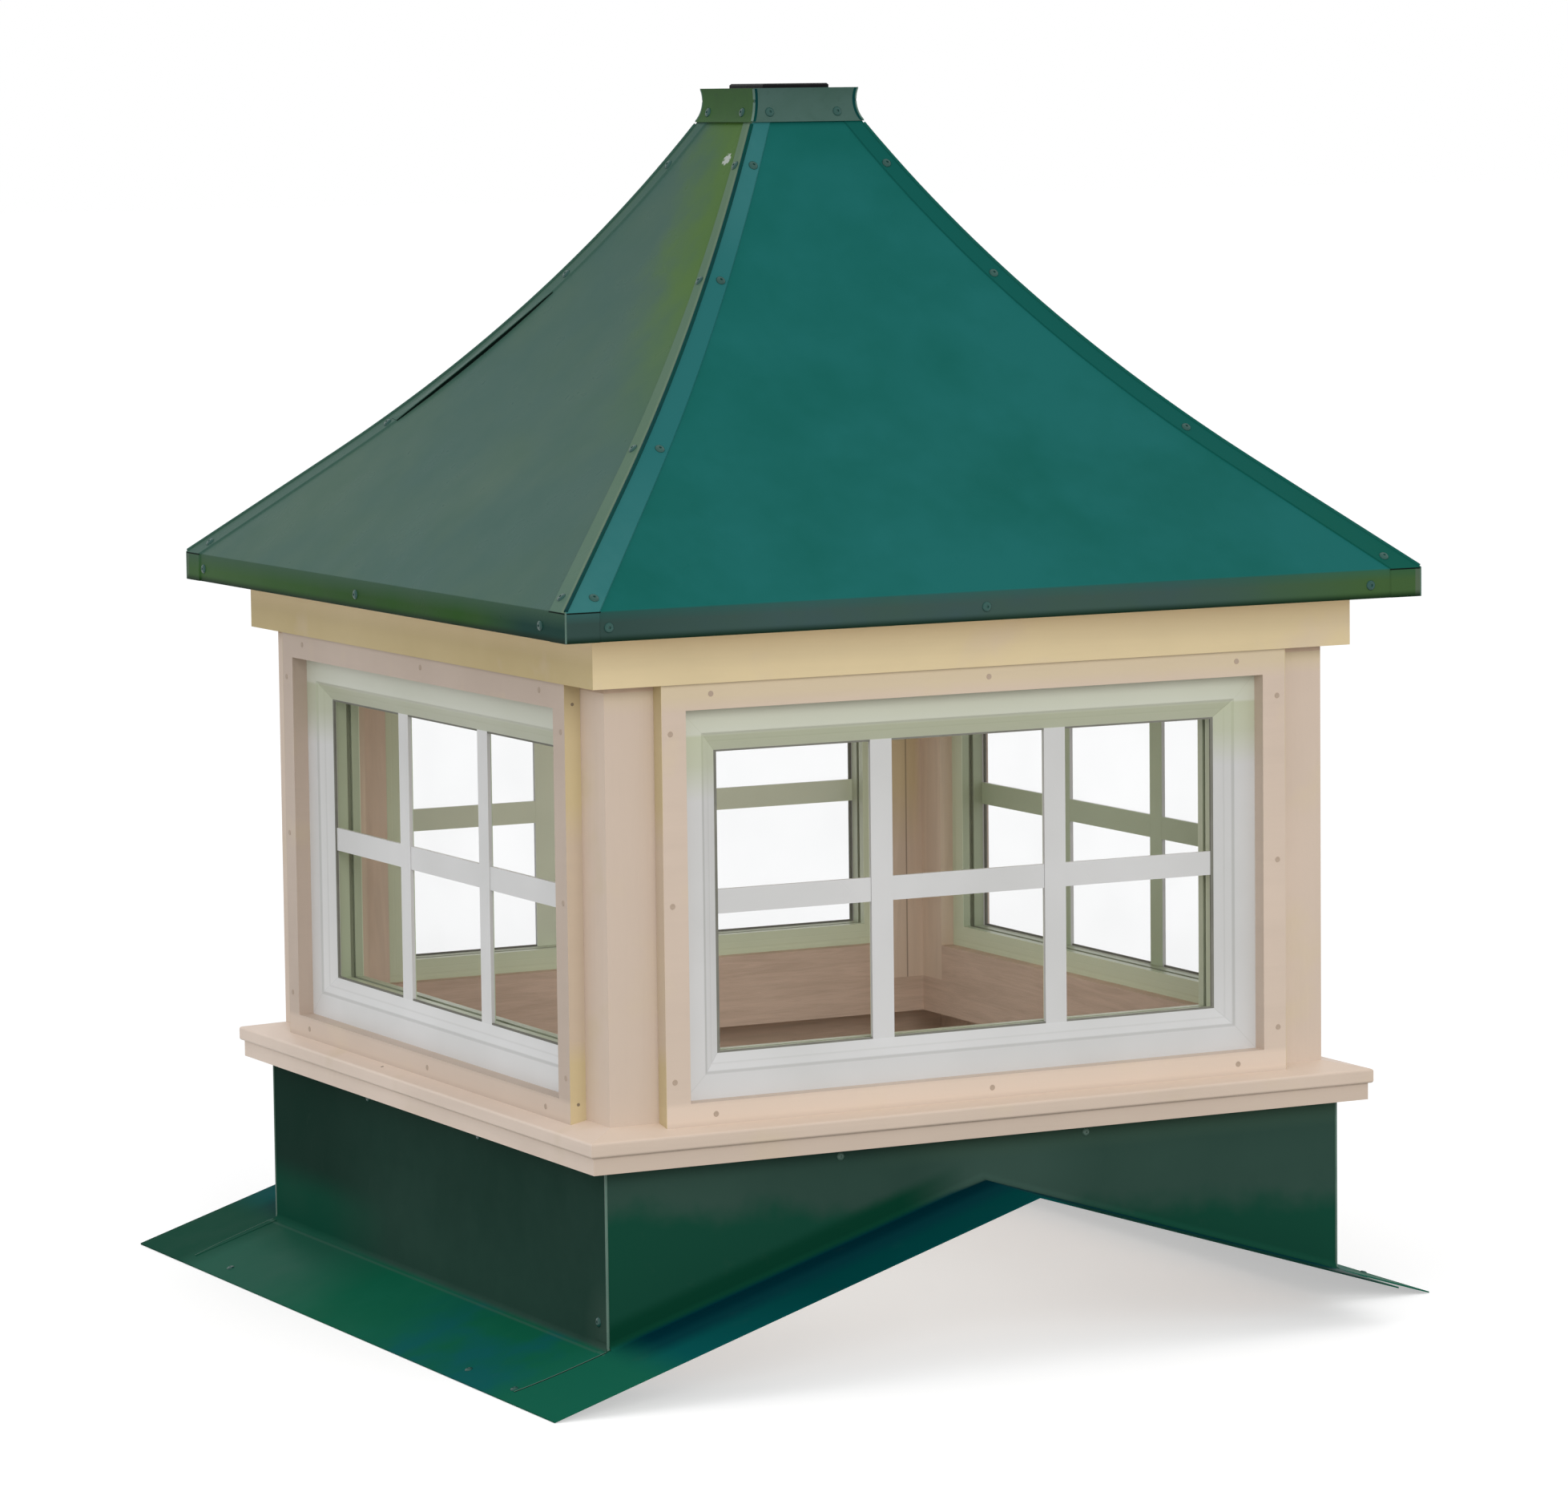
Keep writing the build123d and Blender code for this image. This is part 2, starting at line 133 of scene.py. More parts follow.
# Shader nodes of one material, with short calls for the few kinds used here
class Paint:
    def __init__(self, name):
        self.material = bpy.data.materials.new(name)
        self.material.use_nodes = True
        self.tree = self.material.node_tree
        self.shader = self.tree.nodes["Principled BSDF"]
        self.position = self.tree.nodes.new("ShaderNodeTexCoord").outputs["Object"]

    def link(self, value, socket):
        if isinstance(value, bpy.types.NodeSocket):
            self.tree.links.new(value, socket)
        elif isinstance(value, tuple) and len(value) == 3 and len(socket.default_value) == 4:
            socket.default_value = (*value, 1.0)
        else:
            socket.default_value = value

    def math(self, operation, first, second=0.0, third=0.0):
        node = self.tree.nodes.new("ShaderNodeMath")
        node.operation = operation
        for value, socket in zip((first, second, third), node.inputs):
            self.link(value, socket)
        return node.outputs[0]

    def both(self, first, second):
        return self.math("MULTIPLY", first, second)

    def axes(self):
        node = self.tree.nodes.new("ShaderNodeSeparateXYZ")
        self.link(self.position, node.inputs[0])
        return node.outputs

    def stretched(self, scale):
        node = self.tree.nodes.new("ShaderNodeMapping")
        self.link(self.position, node.inputs["Vector"])
        node.inputs["Scale"].default_value = scale
        return node.outputs[0]

    def noise(self, scale, detail=3.0, rough=0.5, vector=None, distortion=0.0):
        node = self.tree.nodes.new("ShaderNodeTexNoise")
        self.link(vector or self.position, node.inputs["Vector"])
        node.inputs["Scale"].default_value = scale
        node.inputs["Detail"].default_value = detail
        node.inputs["Roughness"].default_value = rough
        node.inputs["Distortion"].default_value = distortion
        return node.outputs["Fac"]

    def span(self, value, low, high, new_low=0.0, new_high=1.0, smooth=False):
        node = self.tree.nodes.new("ShaderNodeMapRange")
        node.interpolation_type = "SMOOTHSTEP" if smooth else "LINEAR"
        self.link(value, node.inputs["Value"])
        ends = {"From Min": low, "From Max": high, "To Min": new_low, "To Max": new_high}
        for name, number in ends.items():
            node.inputs[name].default_value = number
        return node.outputs["Result"]

    def mix(self, amount, first, second):
        node = self.tree.nodes.new("ShaderNodeMix")
        node.data_type = "RGBA"
        self.link(amount, node.inputs["Factor"])
        self.link(first, node.inputs[6])
        self.link(second, node.inputs[7])
        return node.outputs[2]

    def bump(self, height, distance, after=None):
        node = self.tree.nodes.new("ShaderNodeBump")
        self.link(height, node.inputs["Height"])
        node.inputs["Distance"].default_value = distance
        node.inputs["Strength"].default_value = 1.0
        if after:
            self.link(after, node.inputs["Normal"])
        return node.outputs[0]

    def near(self, point, radius):
        node = self.tree.nodes.new("ShaderNodeVectorMath")
        node.operation = "DISTANCE"
        self.link(self.position, node.inputs[0])
        node.inputs[1].default_value = point
        return self.span(node.outputs["Value"], 0.0, radius, 1.0, 0.0)

    # One at the front and back of the object, nought at its two sides
    def on_ends(self):
        x, y, _ = self.axes()
        apart = self.math("SUBTRACT", self.math("ABSOLUTE", y), self.math("ABSOLUTE", x))
        return self.span(apart, -0.0003, 0.0003)

    def finish(self, colour, rough, normal, specular):
        self.link(colour, self.shader.inputs["Base Color"])
        self.link(rough, self.shader.inputs["Roughness"])
        self.shader.inputs["Specular IOR Level"].default_value = specular
        if normal:
            self.link(normal, self.shader.inputs["Normal"])
        return self.material


def shaded(colour, share):
    return tuple(c * share for c in colour)


# Height of the base's upper sheet face above the point's own place on the roof slope
def above_slope(paint, across, height):
    foot = paint.math("MULTIPLY_ADD", across, -SLOPE, WALL_FOOT + SLOPE * BASE_HALF)
    return paint.math("SUBTRACT", height, foot)


# Thin sheet that waves a little under semi-gloss paint
def sheet_skin(paint, colour, rough, specular, wave):
    waves = paint.bump(paint.noise(3.2, 1.0, 0.4), wave)
    skin = paint.bump(paint.noise(420.0, 2.0, 0.5), 0.00004, waves)
    roughness = paint.span(paint.noise(14.0, 3.0, 0.6), 0.3, 0.7, rough - 0.05, rough + 0.07)
    return paint.finish(colour, roughness, skin, specular)


def clouds(paint, deep, pale, scale=5.0):
    soft = paint.span(paint.noise(scale, 4.0, 0.6), 0.36, 0.64)
    return paint.mix(soft, deep, pale)


# Roof's folded edge on the two sides: olive, greener at the far end and darker at the near one; this olive
# against the front and back's greyer tone is painted light, and a greyer band along the top is a painted
# reflection of the sky
def fascia_side(paint, y, z):
    side = clouds(paint, (0.016, 0.079, 0.006), (0.022, 0.077, 0.014), 9.0)
    side = paint.mix(paint.span(y, 0.05, 0.45), side, (0.045, 0.118, 0.033))
    side = paint.mix(paint.span(y, -0.30, -0.42), side, (0.004, 0.042, 0.032))
    upper = paint.span(z, EAVE_TOP - 0.018, EAVE_TOP - 0.002, 0.0, 0.8)
    return paint.mix(upper, side, (0.044, 0.104, 0.066))


# Roof's folded edge on the front and back: greyer, with an olive right and a darker left end; the greyer tone
# is painted light, for how these faces are lit
def fascia_end(paint, x, z, tone):
    end = clouds(paint, (0.046, 0.088, 0.072), (0.044, 0.084, 0.084), 9.0)
    end = paint.mix(paint.span(x, 0.20, 0.46), end, (0.052, 0.110, 0.038))
    end = paint.mix(paint.span(x, -0.28, -0.46), end, (0.034, 0.068, 0.060))
    return paint.mix(paint.span(z, EAVE_TOP - 0.012, EAVE_TOP - 0.001, 0.0, 0.35), end, tone)


# Slope's tone with the folded edge below it, with a pale painted highlight at the corner's fold and painted
# shade, nearly black, along the foot
def folded_edge(paint, tone):
    x, y, z = paint.axes()
    edge = paint.mix(paint.on_ends(), fascia_side(paint, y, z), fascia_end(paint, x, z, tone))
    from_corner = paint.math("ABSOLUTE", paint.math("ADD", x, y))
    edge = paint.mix(paint.span(from_corner, 0.0085, 0.0070, 0.0, 0.45), edge, (0.130, 0.150, 0.130))
    edge = paint.mix(paint.span(z, EAVE_LOW, EAVE_LOW + 0.0085, 0.92, 0.0, True), edge, (0.003, 0.016, 0.006))
    on_roof = paint.span(z, EAVE_TOP - 0.0012, EAVE_TOP + 0.0008)
    return paint.mix(on_roof, edge, tone)


# Slope of the roof, with an olive patch beside the upper hip and a chip in the paint where they are given
def roof_paint(name, deep, pale, olive=None, chip_at=None):
    paint = Paint(name)
    tone = clouds(paint, deep, pale)
    streaks = paint.noise(9.0, 5.0, 0.65, paint.stretched((3.0, 3.0, 0.5)))
    streak_tone = tuple(c * 1.25 + 0.004 for c in pale)
    tone = paint.mix(paint.span(streaks, 0.55, 0.80, 0.0, 0.10), tone, streak_tone)
    if olive:
        x, y, z = paint.axes()
        from_hip = paint.math("ADD", y, paint.math("ABSOLUTE", x))
        ragged = paint.math("MULTIPLY_ADD", paint.noise(14.0, 4.0, 0.6), 0.16, from_hip)
        patch = paint.both(paint.span(ragged, 0.245, 0.115, smooth=True), paint.span(z, *OLIVE_RISE))
        tone = paint.mix(patch, tone, olive)
    if chip_at:
        ragged = paint.both(paint.near(chip_at, CHIP_R), paint.noise(260.0, 2.0, 0.6))
        tone = paint.mix(paint.span(ragged, 0.20, 0.26), tone, (0.42, 0.46, 0.42))
    return sheet_skin(paint, folded_edge(paint, tone), ROOF_ROUGH, ROOF_SHINE, 0.004)


# Tone of a strip from the eave over its middle to the collar, painted light: the strip's changing reflection
# of the sky
def up_strip(paint, low, middle, high):
    z = paint.axes()[2]
    tone = paint.mix(paint.span(z, *LOW_ROOF), low, middle)
    tone = paint.mix(paint.span(z, *HIGH_ROOF), tone, high)
    return paint.mix(paint.span(paint.noise(12.0, 4.0, 0.6), 0.36, 0.64, 0.0, 0.5), tone, middle)


# Cap over a hip: its own tones on the end and side strips, painted light for how each strip is lit, and a
# pale painted highlight on the roll beside the ridge on the side strip
def hip_paint(name, end_tones, side_tones, roll_highlight):
    paint = Paint(name)
    x, y, _ = paint.axes()
    apart = paint.math("SUBTRACT", paint.math("ABSOLUTE", x), paint.math("ABSOLUTE", y))
    side = up_strip(paint, *side_tones)
    side = paint.mix(paint.span(apart, 0.0125, 0.0080, 0.0, 0.8), side, roll_highlight)
    tone = paint.mix(paint.on_ends(), side, up_strip(paint, *end_tones))
    return sheet_skin(paint, folded_edge(paint, tone), ROOF_ROUGH, ROOF_SHINE, 0.001)


# Side walls of the base: darker high up as painted shade under the sill, pale at the near corner, and green
# low down at the far end
def side_wall(paint, x, y, z, rise):
    low = clouds(paint, (0.020, 0.055, 0.041), (0.024, 0.063, 0.047), 8.0)
    high = clouds(paint, (0.015, 0.045, 0.033), (0.019, 0.052, 0.039), 8.0)
    wall = paint.mix(paint.span(rise, 0.030, 0.120), low, high)
    near_corner = paint.near((-BASE_HALF, -BASE_HALF, 0.060), 0.060)
    wall = paint.mix(near_corner, wall, (0.042, 0.080, 0.062))
    far_rise = paint.span(z, 0.080, 0.125, smooth=True)
    far_wall = paint.mix(far_rise, (0.006, 0.065, 0.039), (0.009, 0.034, 0.024))
    return paint.mix(paint.both(paint.span(y, 0.12, 0.30), paint.span(x, 0.0, -BASE_HALF)), wall, far_wall)


# End walls of the base: greyer, paler below the ridge, greener low down, and paler below the sill's right
# part as painted light against the sill's shadow
def end_wall(paint, x, z):
    grey = clouds(paint, (0.030, 0.068, 0.053), (0.035, 0.077, 0.060), 4.0)
    apex = paint.math("MULTIPLY", paint.near((0.035, -BASE_HALF, 0.200), 0.120), 1.4)
    grey = paint.mix(paint.span(apex, 0.0, 1.0, 0.0, 0.85), grey, (0.048, 0.096, 0.077))
    below_sill = paint.both(paint.span(z, 0.205, 0.228, 0.0, 0.75), paint.span(x, -0.16, -0.04))
    grey = paint.mix(below_sill, grey, (0.054, 0.103, 0.073))
    tilted = paint.math("MULTIPLY_ADD", x, 0.07, z)
    ragged = paint.math("MULTIPLY_ADD", paint.noise(16.0, 3.0, 0.6), 0.050, tilted)
    return paint.mix(paint.span(ragged, 0.198, 0.162, smooth=True), grey, (0.0085, 0.063, 0.039))


# Flanges beside the side walls: bluer patches in the near half, greyer and then darker at the far end
def side_flange(paint, y, away):
    flange = clouds(paint, (0.005, 0.104, 0.055), (0.007, 0.114, 0.064), 6.0)
    bluer = paint.both(paint.span(y, -0.04, -0.18), paint.span(paint.noise(7.0, 3.0, 0.6), 0.42, 0.58))
    flange = paint.mix(bluer, flange, (0.0055, 0.098, 0.094))
    flange = paint.mix(paint.span(y, -0.40, -0.46), flange, (0.0080, 0.112, 0.068))
    greyer = paint.mix(paint.span(away, 0.020, 0.060), (0.0150, 0.090, 0.057), (0.0230, 0.110, 0.074))
    flange = paint.mix(paint.span(y, 0.08, 0.26), flange, greyer)
    return paint.mix(paint.span(y, 0.41, 0.47), flange, (0.007, 0.064, 0.039))


# Flanges along the end walls: navy beside the wall as painted shade from it, teal further out, and dark dull
# green on the right slope as painted shade on the flange's underside and edge
def end_flange(paint, x, across, away):
    shade = paint.mix(paint.span(away, 0.026, 0.045), (0.0003, 0.029, 0.041), (0.0020, 0.042, 0.052))
    outer = paint.mix(paint.span(across, 0.25, 0.44), (0.0005, 0.052, 0.052), (0.0030, 0.084, 0.084))
    outer = paint.mix(paint.span(x, 0.02, 0.06), outer, (0.006, 0.034, 0.026))
    return paint.mix(paint.span(away, 0.055, 0.085), shade, outer)


# Base sheet: walls, painted shade in the bend along the end walls' left half, flanges, and a painted glint
# where the side flanges bend out
def base_paint():
    paint = Paint("base_green")
    x, y, z = paint.axes()
    across = paint.math("ABSOLUTE", x)
    deep = paint.math("ABSOLUTE", y)
    away = paint.math("SUBTRACT", paint.math("MAXIMUM", across, deep), BASE_HALF)
    rise = above_slope(paint, across, z)
    on_end = paint.span(paint.math("SUBTRACT", deep, across), -0.001, 0.001)

    wall = paint.mix(on_end, side_wall(paint, x, y, z, rise), end_wall(paint, x, z))
    bend = paint.both(paint.span(rise, 0.034, 0.018, smooth=True), paint.span(x, -0.02, -0.10))
    wall = paint.mix(paint.both(bend, on_end), wall, (0.0035, 0.046, 0.025))

    inward = paint.span(across, BASE_HALF + 0.020, BASE_HALF - 0.045, smooth=True)
    flange_at_end = end_flange(paint, x, across, away)
    flange = paint.mix(paint.both(on_end, inward), side_flange(paint, y, away), flange_at_end)
    from_bend = paint.math("SUBTRACT", away, paint.span(x, -0.04, 0.02, 0.0, 0.007))
    tone = paint.mix(paint.span(from_bend, 0.001, 0.006), wall, flange)

    glint = paint.both(paint.span(away, 0.0055, 0.0070), paint.span(away, 0.0105, 0.0090))
    glint = paint.both(glint, paint.math("SUBTRACT", 1.0, on_end))
    tone = paint.mix(paint.both(glint, 0.40), tone, (0.060, 0.130, 0.100))
    dust = paint.span(paint.noise(30.0, 5.0, 0.7), 0.60, 0.80, 0.0, 0.05)
    tone = paint.mix(dust, tone, (0.10, 0.13, 0.10))
    return sheet_skin(paint, tone, 0.40, BASE_SHINE, 0.002)


# One green for small metal parts, with another for the faces on the two sides where it is given: painted
# light, a copy lit differently from the front and back
def trim_paint(name, deep, pale, rough, specular, side=None):
    paint = Paint(name)
    tone = clouds(paint, deep, pale, 14.0)
    if side:
        tone = paint.mix(paint.on_ends(), clouds(paint, side, shaded(side, 1.12), 14.0), tone)
    specks = paint.span(paint.noise(90.0, 4.0, 0.6), 0.55, 0.8, 0.0, 0.3)
    tone = paint.mix(specks, tone, shaded(deep, 0.6))
    return sheet_skin(paint, tone, rough, specular, 0.0005)


# Painted board: brushed grain and soft colour drift, with another tone on the object's two sides as painted
# light, a copy for how the sides are lit
class Board(Paint):
    def __init__(self, name, colour, warm, grain, side=None):
        super().__init__(name)
        self.x, self.y, self.z = self.axes()
        self.drift = self.span(self.noise(3.5, 4.0, 0.6), 0.35, 0.65)
        self.tone = self.mix(self.drift, colour, shaded(colour, DRIFT_SHARE))
        if side:
            side_tone = self.mix(self.drift, side, shaded(side, DRIFT_SHARE))
            self.tone = self.mix(self.on_ends(), side_tone, self.tone)
        self.cover(self.span(self.noise(11.0, 3.0, 0.5), 0.58, 0.74, 0.0, 0.45), warm)
        self.lines = self.noise(55.0, 5.0, 0.65, self.stretched(grain), 0.4)
        self.cover(self.span(self.lines, 0.45, 0.75, 0.0, 0.10), shaded(colour, 0.62))

    def cover(self, amount, tone):
        self.tone = self.mix(amount, self.tone, tone)

    # Painted light: a yellow tint under the frieze on the front and back, for the yellow light bounced under
    # the eave
    def painted_light_under_frieze(self):
        zone = self.span(self.z, FRIEZE_LOW - 0.032, FRIEZE_LOW - 0.014, 0.0, 0.6)
        self.cover(self.both(zone, self.on_ends()), (0.650, 0.550, 0.350))

    def brushed(self):
        relief = self.bump(self.lines, 0.00035)
        relief = self.bump(self.noise(300.0, 2.0), 0.00006, relief)
        return self.finish(self.tone, self.span(self.drift, 0.0, 1.0, 0.42, 0.52), relief, 0.35)


# Yellower cream, paler just under the eave: both painted light, for the yellow light bounced under the eave
# and against the eave's shadow
def frieze_paint():
    board = Board("frieze_cream", FRIEZE_CREAM, CREAM, LEVEL, (0.588, 0.466, 0.222))
    under_eave = board.span(board.z, EAVE_LOW - 0.034, EAVE_LOW, 0.0, 0.75, True)
    board.cover(under_eave, shaded(FRIEZE_CREAM, 1.35))
    return board.brushed()


# Casings: a paler board along the foot, painted shade where it meets the sill, and yellow painted shade on
# the end faces
def casing_paint():
    board = Board("casing_cream", CREAM, CREAM_WARM, LEVEL, (0.580, 0.470, 0.388))
    board.painted_light_under_frieze()
    foot = board.span(board.z, OPENING_LOW + 0.002, OPENING_LOW - 0.004, 0.0, 0.45)
    board.cover(foot, shaded(CREAM, 1.22))
    contact = board.span(board.z, SILL_TOP - 0.004, SILL_TOP + 0.002, 0.30, 0.0)
    board.cover(contact, shaded(CREAM, 0.55))

    wide = board.math("ABSOLUTE", board.x)
    deep = board.math("ABSOLUTE", board.y)
    past_end = board.span(board.math("MINIMUM", wide, deep), CASING_HALF - 0.0004, CASING_HALF)
    past_post = board.span(board.math("MAXIMUM", wide, deep), POST_FACE, POST_FACE + 0.0003)
    low_part = board.span(board.z, 0.365, 0.340, 0.25, 1.0)
    strength = board.math("MAXIMUM", low_part, board.span(board.z, 0.56, 0.62))
    end_face = board.both(board.both(past_end, past_post), strength)
    board.cover(board.both(end_face, 0.8), (0.57, 0.47, 0.25))
    return board.brushed()


# Sill: painted shade on the lower step and a painted highlight on the sloped edge, both on the front and back
def sill_paint():
    board = Board("sill_cream", CREAM, CREAM_WARM, LEVEL, (0.815, 0.672, 0.568))
    step = board.span(board.z, STEP_TOP + 0.0006, STEP_TOP - 0.0004, 0.0, 0.5)
    board.cover(board.both(step, board.on_ends()), shaded(CREAM, 0.84))
    slope = board.span(board.z, SILL_TOP - 0.0092, SILL_TOP - 0.0080, 0.0, 0.8)
    board.cover(board.both(slope, board.on_ends()), shaded(CREAM, 1.16))
    return board.brushed()


# Bare wood on the posts' inner faces, with the joint of two studs and an olive part on the back right one
def stud_wood(board):
    x, y, z = board.x, board.y, board.z
    rings = board.noise(9.0, 5.0, 0.6, board.stretched((5.0, 5.0, 0.4)), 0.8)
    wood = board.mix(board.span(rings, 0.35, 0.65), (0.65, 0.525, 0.415), (0.74, 0.60, 0.475))
    left_of_joint = board.span(x, STUD_JOINT + 0.022, STUD_JOINT + 0.012)
    olive = board.both(left_of_joint, board.span(z, 0.44, 0.52))
    olive = board.both(olive, board.both(board.span(x, 0.29, 0.30), board.span(y, 0.0, 0.1)))
    wood = board.mix(board.both(olive, 0.6), wood, (0.66, 0.54, 0.27))
    to_joint = board.math("ABSOLUTE", board.math("SUBTRACT", x, STUD_JOINT))
    return board.mix(board.span(to_joint, 0.0013, 0.0005, 0.0, 0.6), wood, (0.14, 0.10, 0.07))


# Corner posts: cream outside, with duller left ones, and bare wood inside
def post_paint():
    board = Board("post_cream", CREAM, CREAM_WARM, UPRIGHT, (0.735, 0.600, 0.495))
    board.painted_light_under_frieze()
    left_end = board.both(board.span(board.x, 0.0, -0.1), board.on_ends())
    board.cover(board.both(left_end, 0.5), shaded(CREAM, 0.86))
    reach = board.math("MAXIMUM", board.math("ABSOLUTE", board.x), board.math("ABSOLUTE", board.y))
    outside = board.span(reach, BODY_HALF - 0.003, BODY_HALF - 0.002)
    board.tone = board.mix(outside, stud_wood(board), board.tone)
    return board.brushed()


# Bare sawn wood with long grain
def bare_wood(name, light, dark, grain):
    paint = Paint(name)
    rings = paint.noise(14.0, 6.0, 0.62, paint.stretched(grain), 1.4)
    fine = paint.noise(80.0, 4.0, 0.6, paint.stretched(grain))
    tone = paint.mix(paint.span(rings, 0.36, 0.64), light, dark)
    tone = paint.mix(paint.span(fine, 0.5, 0.8, 0.0, 0.18), tone, shaded(dark, 0.55))
    return paint.finish(tone, 0.75, paint.bump(fine, 0.0003), 0.2)


# Lines that show on a window's frame: the bead's start and step, and the welds at its corners
def frame_lines(paint, ring, across, level):
    start = paint.math("ABSOLUTE", paint.math("ADD", ring, BEAD_START + 0.0012))
    step = paint.math("ABSOLUTE", paint.math("ADD", ring, (BEAD_START + BEAD_END) / 2))
    weld = paint.math("ABSOLUTE", paint.math("SUBTRACT", across, level))
    start_line = paint.span(start, 0.0022, 0.0008, 0.0, 0.40)
    step_line = paint.span(step, 0.0012, 0.0004, 0.0, 0.14)
    weld_line = paint.span(weld, 0.0009, 0.0003, 0.0, 0.16)
    return paint.math("MAXIMUM", paint.math("MAXIMUM", start_line, step_line), weld_line)


# Inner faces of the vinyl, greenish as they look through the panes and darker as painted shade inside the
# cupola; the bars' lighter tone on the front and back is painted light
def inner_vinyl(paint, on_frame, reach):
    bars = paint.mix(paint.on_ends(), (0.540, 0.635, 0.440), (0.850, 0.920, 0.730))
    inner = paint.mix(on_frame, bars, (0.36, 0.39, 0.28))
    return paint.mix(paint.span(reach, FRAME_BACK + 0.0004, FRAME_BACK - 0.0004), inner, (0.64, 0.71, 0.53))


# White vinyl, satin, with specks of dirt, a paler tone on the two sides as painted light, dark lines at the
# bead's start and step as painted shade and at the corner welds, and olive painted shade along the upper
# frame and the bead's top
def white_vinyl():
    paint = Paint("white_vinyl")
    drift = paint.span(paint.noise(6.0, 3.0, 0.5), 0.35, 0.65)
    ends = paint.mix(drift, (0.635, 0.638, 0.640), (0.590, 0.595, 0.592))
    sides = paint.mix(drift, (0.755, 0.758, 0.760), (0.700, 0.705, 0.702))
    tone = paint.mix(paint.on_ends(), sides, ends)
    specks = paint.span(paint.noise(38.0, 3.0, 0.6), 0.70, 0.84, 0.0, 0.15)
    tone = paint.mix(specks, tone, (0.52, 0.52, 0.47))

    x, y, z = paint.axes()
    wide = paint.math("ABSOLUTE", x)
    deep = paint.math("ABSOLUTE", y)
    reach = paint.math("MAXIMUM", wide, deep)
    middle = (OPENING_LOW + OPENING_HIGH) / 2
    from_middle = paint.math("ABSOLUTE", paint.math("SUBTRACT", z, middle))
    level = paint.math("SUBTRACT", from_middle, OPENING_HIGH - middle)
    across = paint.math("SUBTRACT", paint.math("MINIMUM", wide, deep), OPENING_HALF)
    ring = paint.math("MAXIMUM", across, level)
    on_frame = paint.span(ring, -BEAD_END - 0.0006, -BEAD_END + 0.0004)

    lines = frame_lines(paint, ring, across, level)
    tone = paint.mix(paint.both(lines, on_frame), tone, (0.30, 0.30, 0.28))
    upper = paint.span(z, OPENING_HIGH - 0.10, OPENING_HIGH - 0.02, 0.0, 0.50)
    tone = paint.mix(paint.both(upper, on_frame), tone, (0.56, 0.60, 0.40))
    below_edge = paint.span(level, -BEAD_START - 0.001, -BEAD_START - 0.004)
    bead_top = paint.both(below_edge, paint.span(z, 0.62, 0.66))
    tone = paint.mix(paint.both(paint.both(bead_top, on_frame), 0.5), tone, (0.42, 0.46, 0.27))
    behind_pane = paint.span(reach, PANE_MIDDLE + 0.0004, PANE_MIDDLE - 0.0004)
    tone = paint.mix(behind_pane, tone, inner_vinyl(paint, on_frame, reach))

    relief = paint.bump(paint.math("SUBTRACT", 1.0, lines), 0.0004)
    relief = paint.bump(paint.noise(240.0, 2.0, 0.5), 0.00004, relief)
    return paint.finish(tone, paint.span(drift, 0.0, 1.0, 0.30, 0.38), relief, 0.25)


# Clear panes with a faint haze, a little thicker low down
def clear_glass():
    paint = Paint("clear_glass")
    z = paint.axes()[2]
    haze = paint.span(paint.noise(7.0, 3.0, 0.5), 0.4, 0.7, 0.020, 0.036)
    haze = paint.math("ADD", haze, paint.span(z, 0.52, 0.36, 0.0, 0.018))
    material = paint.finish((0.10, 0.11, 0.10), 0.04, None, 0.08)
    paint.link(haze, paint.shader.inputs["Alpha"])
    return material


# Black paint, worn a little
def black_metal():
    paint = Paint("black_metal")
    wear = paint.span(paint.noise(60.0, 4.0, 0.6), 0.55, 0.75, 0.0, 0.4)
    tone = paint.mix(wear, (0.006, 0.006, 0.007), (0.022, 0.021, 0.020))
    relief = paint.bump(paint.noise(180.0, 3.0), 0.0002)
    return paint.finish(tone, 0.45, relief, 0.1)


# Greens of the roof, where a strip's three tones run from the eave to the collar; tones that differ from face
# to face and cap to cap are painted light, for how each face is lit
roof_green = roof_paint("roof_green", (0.006, 0.103, 0.087), (0.010, 0.121, 0.112))
# The left slope's greyer green is a painted sheen, the sky's reflection painted into its colour
left_green_painted_sheen = roof_paint("left_green_painted_sheen", (0.050, 0.116, 0.095), (0.060, 0.124, 0.091), (0.071, 0.154, 0.036),
                        CHIP_AT)
# The near cap's paler strips and roll are painted reflections; the far caps carry darker copies of the same
# tones as painted shade
near_cap_painted_light = hip_paint("near_cap_painted_light", ((0.036, 0.160, 0.158), (0.018, 0.130, 0.130), (0.034, 0.158, 0.160)),
                     ((0.078, 0.155, 0.115), (0.089, 0.165, 0.107), (0.108, 0.183, 0.112)),
                     (0.143, 0.223, 0.142))
far_cap_painted_light = hip_paint("far_cap_painted_light", ((0.005, 0.088, 0.064), (0.005, 0.088, 0.074), (0.005, 0.088, 0.074)),
                    ((0.052, 0.116, 0.091), (0.056, 0.120, 0.095), (0.056, 0.120, 0.095)),
                    (0.070, 0.136, 0.101))
base_green = base_paint()

